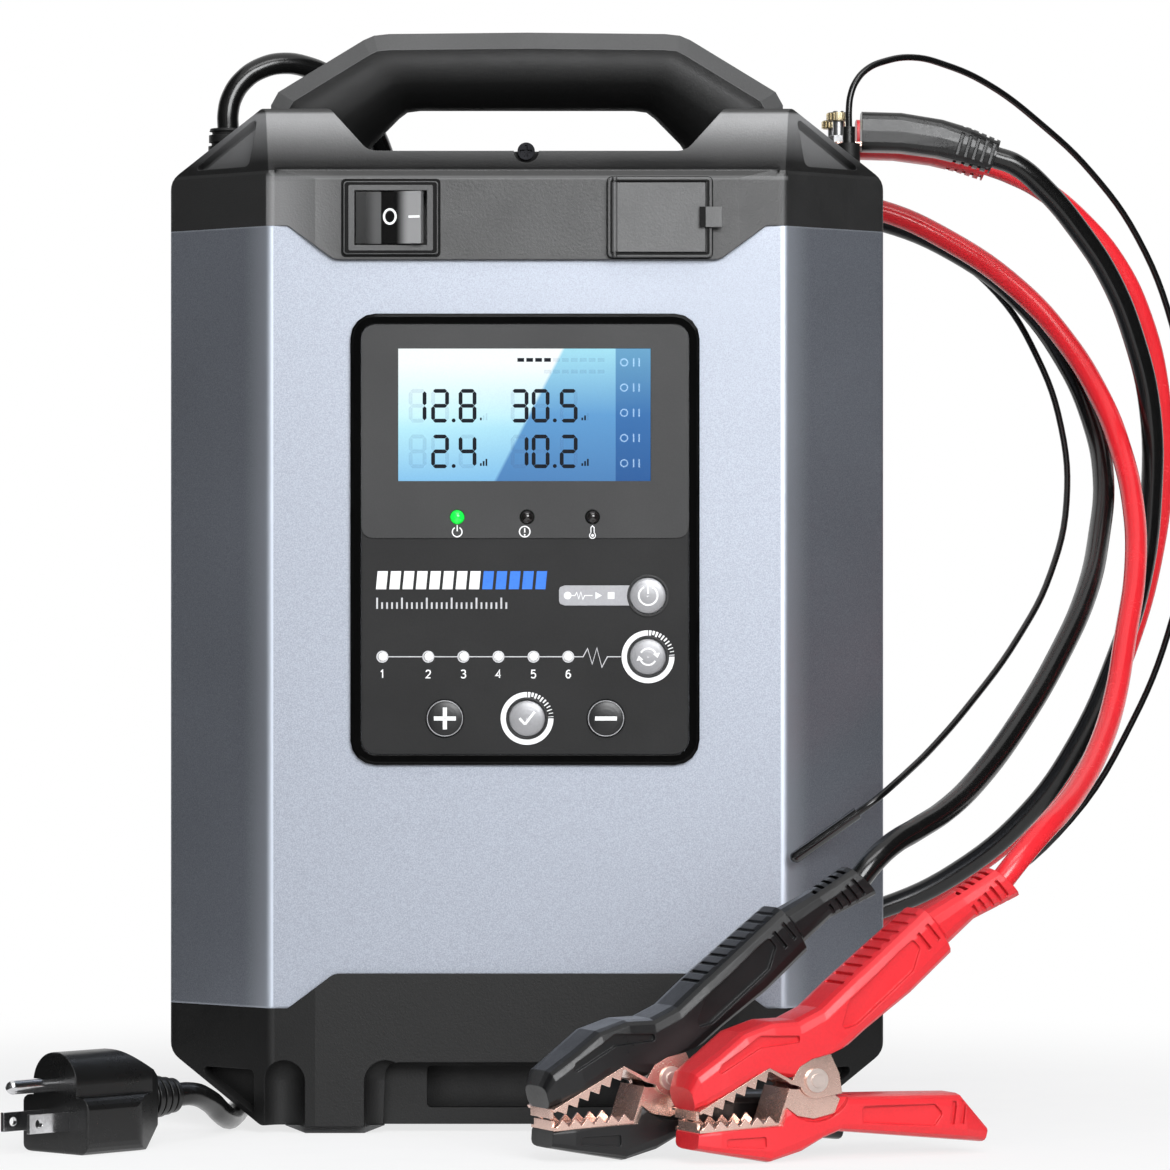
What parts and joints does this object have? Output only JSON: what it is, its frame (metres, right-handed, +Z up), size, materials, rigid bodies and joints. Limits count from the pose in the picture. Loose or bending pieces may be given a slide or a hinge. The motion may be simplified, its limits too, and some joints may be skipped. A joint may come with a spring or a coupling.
{
  "type": "car battery charger",
  "caption": "Upright car battery charger with a metal housing, carrying handle, display panel, mains cord with plug, temperature probe and two clamps on black and red leads.",
  "frame": {"origin": "centre of the housing's base on the floor, measured without the cords", "axes": "+Z up, front with the display towards -Y, +X to the viewer's right"},
  "size_m": [0.4222, 0.3976, 0.3843],
  "materials": {
    "sleeve_metal": "satin",
    "cap_dark": "satin",
    "base_dark": "satin",
    "rubber_grey": "matte",
    "gloss_black": "gloss",
    "fascia_dark": "gloss",
    "fascia_grey": "gloss",
    "display": "gloss",
    "board_green": "satin",
    "lamp_green": "gloss",
    "lamp_dark": "gloss",
    "lamp_white": "gloss",
    "button_silver": "satin",
    "button_black": "satin",
    "flap_grey": "satin",
    "steel": "satin",
    "chrome": "gloss",
    "aluminium": "satin",
    "brass": "satin",
    "copper": "satin",
    "transformer_core": "matte",
    "cord_black": "satin",
    "lead_red": "satin",
    "clamp_black": "satin",
    "clamp_red": "satin"
  },
  "bodies": {
    "charger": {"metal_sleeve": "sleeve_metal", "top_cap": "cap_dark", "base_cap": "base_dark", "handle_shell": "cap_dark", "handle_cover": "flap_grey", "rubber_feet": "rubber_grey", "panel_bezel": "gloss_black", "panel_fascia": "fascia_dark", "display_fascia": "fascia_grey", "display_lens": "display", "display_module": "display", "control_board": "board_green", "power_led": "lamp_green", "status_leds": "lamp_dark", "mode_leds": "lamp_white", "switch_frame": "gloss_black", "usb_frame": "cap_dark", "usb_sockets": "steel", "fan_grille": "base_dark", "fan_frame": "base_dark", "main_board": "board_green", "heatsink": "aluminium", "transformer": "transformer_core", "terminal_block": "base_dark", "terminal_posts": "steel", "terminal_nuts": "brass", "lead_lugs": "copper", "black_boot": "cord_black", "red_boot": "lead_red", "sensor_plug": "cord_black", "mains_gland": "base_dark", "mains_cord": "cord_black", "mains_coil": "cord_black", "mains_tail": "cord_black", "plug_body": "cord_black", "plug_pins": "chrome", "black_lead": "cord_black", "red_lead": "lead_red", "sensor_lead": "cord_black", "sensor_probe": "gloss_black", "black_clamp_arm": "clamp_black", "black_spring": "steel", "red_clamp_arm": "clamp_red", "red_spring": "steel", "upper_jaws": "copper", "clamp_rivets": "chrome", "housing_screws": "chrome", "cable_hooks": "base_dark"},
    "start_button": {"start_button": "button_silver"},
    "mode_button": {"mode_button": "button_silver"},
    "set_button": {"set_button": "button_silver"},
    "plus_button": {"plus_button": "button_black"},
    "minus_button": {"minus_button": "button_black"},
    "rocker": {"switch_rocker": "gloss_black"},
    "flap": {"usb_flap": "flap_grey"},
    "rotor": {"fan_rotor": "base_dark"},
    "black_lever": {"black_clamp_lever": "clamp_black", "black_lower_jaw": "copper"},
    "red_lever": {"red_clamp_lever": "clamp_red", "red_lower_jaw": "copper"}
  },
  "joints": [
    {"name": "rocker_turn", "type": "hinge", "parent": "charger", "child": "rocker", "pos_m": [-0.0466, -0.095, 0.3135], "axis": [0, 0, 1], "range_deg": [0, 20]},
    {"name": "flap_turn", "type": "hinge", "parent": "charger", "child": "flap", "pos_m": [0.0299, -0.0996, 0.3136], "axis": [0, 0, -1], "range_deg": [0, 110]},
    {"name": "start_button_press", "type": "slide", "parent": "charger", "child": "start_button", "axis": [0, 1, 0], "range_m": [0, 0.0008], "stiffness_N_per_m": 400, "springref_m": -0.0003},
    {"name": "mode_button_press", "type": "slide", "parent": "charger", "child": "mode_button", "axis": [0, 1, 0], "range_m": [0, 0.0008], "stiffness_N_per_m": 400, "springref_m": -0.0003},
    {"name": "set_button_press", "type": "slide", "parent": "charger", "child": "set_button", "axis": [0, 1, 0], "range_m": [0, 0.0008], "stiffness_N_per_m": 400, "springref_m": -0.0003},
    {"name": "plus_button_press", "type": "slide", "parent": "charger", "child": "plus_button", "axis": [0, 1, 0], "range_m": [0, 0.0008], "stiffness_N_per_m": 400, "springref_m": -0.0003},
    {"name": "minus_button_press", "type": "slide", "parent": "charger", "child": "minus_button", "axis": [0, 1, 0], "range_m": [0, 0.0008], "stiffness_N_per_m": 400, "springref_m": -0.0003},
    {"name": "fan_spin", "type": "hinge", "parent": "charger", "child": "rotor", "pos_m": [0, 0.056, 0.15], "axis": [0, 1, 0], "continuous": true},
    {"name": "black_clamp_open", "type": "hinge", "parent": "charger", "child": "black_lever", "pos_m": [0.0427, -0.1795, 0.0265], "axis": [0.4067, -0.9135, 0], "range_deg": [0, 22], "stiffness_Nm_per_rad": 0.8, "springref_deg": -20.05, "deforming": ["black_spring"]},
    {"name": "red_clamp_open", "type": "hinge", "parent": "charger", "child": "red_lever", "pos_m": [0.0896, -0.1875, 0.0265], "axis": [0.4067, -0.9135, 0], "range_deg": [0, 22], "stiffness_Nm_per_rad": 0.8, "springref_deg": -20.05, "deforming": ["red_spring"]}
  ]
}
